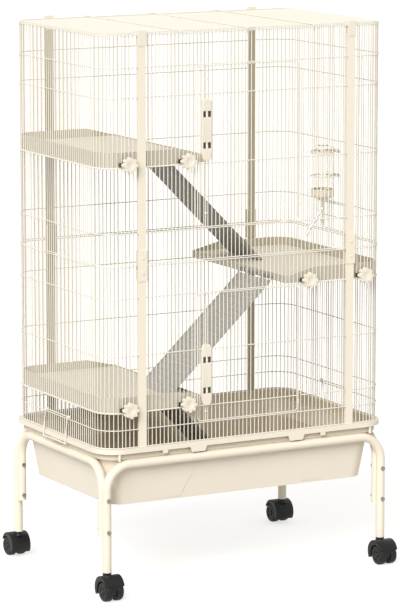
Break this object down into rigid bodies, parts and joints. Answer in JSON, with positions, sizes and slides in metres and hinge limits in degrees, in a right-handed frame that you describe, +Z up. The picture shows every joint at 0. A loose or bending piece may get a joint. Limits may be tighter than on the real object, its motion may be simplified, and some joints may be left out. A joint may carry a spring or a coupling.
{
  "type": "ferret cage",
  "caption": "Tall wire small-animal cage with hinged doors, shelves and ramps, on a castered tube stand with a deep base tray.",
  "frame": {"origin": "on the floor, under the middle of the cage", "axes": "+Z up, -Y to the doors, +X to the hinge side of the doors"},
  "size_m": [0.829, 0.59, 1.3798],
  "materials": {
    "cream_wire": "cream powder coat, semi-gloss",
    "cream_post": "cream powder coat, semi-gloss",
    "cream_tube": "cream powder coat, semi-gloss",
    "cream_plastic": "moulded cream plastic",
    "shelf_plastic": "moulded cream plastic, fine grain",
    "tray_plastic": "moulded cream plastic, fine grain",
    "ramp_plastic": "moulded grey plastic, ribbed",
    "caster_plastic": "black nylon",
    "wheel_plastic": "black nylon",
    "black_metal": "black coating",
    "zinc_steel": "zinc plated",
    "bottle_clear": "clear plastic",
    "cap_plastic": "moulded cream plastic"
  },
  "bodies": {
    "root": {"stand_front_frame": "cream_tube", "stand_back_frame": "cream_tube", "stand_left_frame": "cream_tube", "stand_right_frame": "cream_tube", "stand_bolts": "zinc_steel", "stand_nuts": "zinc_steel", "caster_sockets": "caster_plastic", "base_tray": "tray_plastic", "posts_lower": "cream_post", "posts_upper": "cream_post", "post_joiners": "cream_post", "joiner_screws": "zinc_steel", "post_caps": "cream_plastic", "wall_left_lower": "cream_wire", "wall_right_lower": "cream_wire", "wall_front_lower": "cream_wire", "wall_back_lower": "cream_wire", "wall_left_upper": "cream_wire", "wall_right_upper": "cream_wire", "wall_front_upper": "cream_wire", "wall_back_upper": "cream_wire", "top_panel": "cream_wire", "shelf_upper": "shelf_plastic", "shelf_middle": "shelf_plastic", "shelf_lower": "shelf_plastic", "shelf_bolts": "black_metal", "shelf_hooks": "black_metal", "ramp_pins": "zinc_steel", "bottle": "bottle_clear", "bottle_cap": "cap_plastic", "bottle_spout": "zinc_steel", "bottle_holder": "cream_wire"},
    "door_upper": {"door_upper": "cream_wire", "latch_plate_upper": "cream_plastic"},
    "door_lower": {"door_lower": "cream_wire", "latch_plate_lower": "cream_plastic"},
    "latch_bar_upper_top": {"latch_bar_upper_top": "cream_wire"},
    "latch_bar_upper_bottom": {"latch_bar_upper_bottom": "cream_wire"},
    "latch_bar_lower_top": {"latch_bar_lower_top": "cream_wire"},
    "latch_bar_lower_bottom": {"latch_bar_lower_bottom": "cream_wire"},
    "feeder_door": {"feeder_door": "cream_wire"},
    "tray_clip_left": {"tray_clip_left": "cream_wire"},
    "tray_clip_right": {"tray_clip_right": "cream_wire"},
    "ramp_upper": {"ramp_upper": "ramp_plastic"},
    "ramp_middle": {"ramp_middle": "ramp_plastic"},
    "ramp_lower": {"ramp_lower": "ramp_plastic"},
    "knob_upper_left": {"knob_upper_left": "cream_plastic"},
    "knob_upper_right": {"knob_upper_right": "cream_plastic"},
    "knob_middle_left": {"knob_middle_left": "cream_plastic"},
    "knob_middle_right": {"knob_middle_right": "cream_plastic"},
    "knob_lower_left": {"knob_lower_left": "cream_plastic"},
    "knob_lower_right": {"knob_lower_right": "cream_plastic"},
    "caster_fork_fl": {"caster_fork_fl": "caster_plastic"},
    "caster_wheels_fl": {"caster_wheels_fl": "wheel_plastic"},
    "caster_fork_fr": {"caster_fork_fr": "caster_plastic"},
    "caster_wheels_fr": {"caster_wheels_fr": "wheel_plastic"},
    "caster_fork_bl": {"caster_fork_bl": "caster_plastic"},
    "caster_wheels_bl": {"caster_wheels_bl": "wheel_plastic"},
    "caster_fork_br": {"caster_fork_br": "caster_plastic"},
    "caster_wheels_br": {"caster_wheels_br": "wheel_plastic"}
  },
  "joints": [
    {"name": "door_upper_swing", "type": "hinge", "parent": "root", "child": "door_upper", "pos_m": [0.146, -0.2485, 1.093], "axis": [0, 0, 1], "range_deg": [0, 110]},
    {"name": "door_lower_swing", "type": "hinge", "parent": "root", "child": "door_lower", "pos_m": [0.146, -0.2485, 0.5745], "axis": [0, 0, 1], "range_deg": [0, 85]},
    {"name": "latch_upper_bottom_slide", "type": "slide", "parent": "door_upper", "child": "latch_bar_upper_bottom", "axis": [0, 0, -1], "range_m": [0, 0.014]},
    {"name": "latch_upper_top_slide", "type": "slide", "parent": "door_upper", "child": "latch_bar_upper_top", "axis": [0, 0, 1], "range_m": [0, 0.014]},
    {"name": "latch_lower_top_slide", "type": "slide", "parent": "door_lower", "child": "latch_bar_lower_top", "axis": [0, 0, 1], "range_m": [0, 0.014]},
    {"name": "latch_lower_bottom_slide", "type": "slide", "parent": "door_lower", "child": "latch_bar_lower_bottom", "axis": [0, 0, -1], "range_m": [0, 0.014]},
    {"name": "feeder_door_swing", "type": "hinge", "parent": "root", "child": "feeder_door", "pos_m": [0.395, 0.057, 0.854], "axis": [0, 0, 1], "range_deg": [0, 100]},
    {"name": "tray_clip_left_swing", "type": "hinge", "parent": "root", "child": "tray_clip_left", "pos_m": [-0.3973, 0, 0.4186], "axis": [0, 1, 0], "range_deg": [0, 60]},
    {"name": "tray_clip_right_swing", "type": "hinge", "parent": "root", "child": "tray_clip_right", "pos_m": [0.3973, 0, 0.4186], "axis": [0, -1, 0], "range_deg": [0, 60]},
    {"name": "ramp_upper_lift", "type": "hinge", "parent": "root", "child": "ramp_upper", "pos_m": [-0.1055, 0.103, 1.0633], "axis": [0, -1, 0], "range_deg": [0, 40]},
    {"name": "ramp_middle_lift", "type": "hinge", "parent": "root", "child": "ramp_middle", "pos_m": [0.1055, -0.103, 0.7473], "axis": [0, 1, 0], "range_deg": [0, 40]},
    {"name": "ramp_lower_lift", "type": "hinge", "parent": "root", "child": "ramp_lower", "pos_m": [-0.1055, 0.103, 0.4663], "axis": [0, -1, 0], "range_deg": [0, 40]},
    {"name": "knob_upper_left_turn", "type": "hinge", "parent": "root", "child": "knob_upper_left", "pos_m": [-0.331, -0.26, 1.0608], "axis": [0, -1, 0], "continuous": true},
    {"name": "knob_upper_right_turn", "type": "hinge", "parent": "root", "child": "knob_upper_right", "pos_m": [-0.1705, -0.26, 1.0608], "axis": [0, -1, 0], "continuous": true},
    {"name": "knob_middle_left_turn", "type": "hinge", "parent": "root", "child": "knob_middle_left", "pos_m": [0.1705, -0.26, 0.7448], "axis": [0, -1, 0], "continuous": true},
    {"name": "knob_middle_right_turn", "type": "hinge", "parent": "root", "child": "knob_middle_right", "pos_m": [0.331, -0.26, 0.7448], "axis": [0, -1, 0], "continuous": true},
    {"name": "knob_lower_left_turn", "type": "hinge", "parent": "root", "child": "knob_lower_left", "pos_m": [-0.331, -0.26, 0.4638], "axis": [0, -1, 0], "continuous": true},
    {"name": "knob_lower_right_turn", "type": "hinge", "parent": "root", "child": "knob_lower_right", "pos_m": [-0.1705, -0.26, 0.4638], "axis": [0, -1, 0], "continuous": true},
    {"name": "caster_fl_swivel", "type": "hinge", "parent": "root", "child": "caster_fork_fl", "pos_m": [-0.389, -0.248, 0.05], "axis": [0, 0, 1], "continuous": true},
    {"name": "caster_fl_roll", "type": "hinge", "parent": "caster_fork_fl", "child": "caster_wheels_fl", "pos_m": [-0.389, -0.27, 0.025], "axis": [1, 0, 0], "continuous": true},
    {"name": "caster_fr_swivel", "type": "hinge", "parent": "root", "child": "caster_fork_fr", "pos_m": [0.389, -0.248, 0.05], "axis": [0, 0, 1], "continuous": true},
    {"name": "caster_fr_roll", "type": "hinge", "parent": "caster_fork_fr", "child": "caster_wheels_fr", "pos_m": [0.389, -0.27, 0.025], "axis": [1, 0, 0], "continuous": true},
    {"name": "caster_bl_swivel", "type": "hinge", "parent": "root", "child": "caster_fork_bl", "pos_m": [-0.389, 0.248, 0.05], "axis": [0, 0, 1], "continuous": true},
    {"name": "caster_bl_roll", "type": "hinge", "parent": "caster_fork_bl", "child": "caster_wheels_bl", "pos_m": [-0.389, 0.27, 0.025], "axis": [1, 0, 0], "continuous": true},
    {"name": "caster_br_swivel", "type": "hinge", "parent": "root", "child": "caster_fork_br", "pos_m": [0.389, 0.248, 0.05], "axis": [0, 0, 1], "continuous": true},
    {"name": "caster_br_roll", "type": "hinge", "parent": "caster_fork_br", "child": "caster_wheels_br", "pos_m": [0.389, 0.27, 0.025], "axis": [1, 0, 0], "continuous": true}
  ],
  "couplings": [
    {"joint": "latch_upper_top_slide", "follows": "latch_upper_bottom_slide", "ratio": 1},
    {"joint": "latch_lower_bottom_slide", "follows": "latch_lower_top_slide", "ratio": 1}
  ]
}
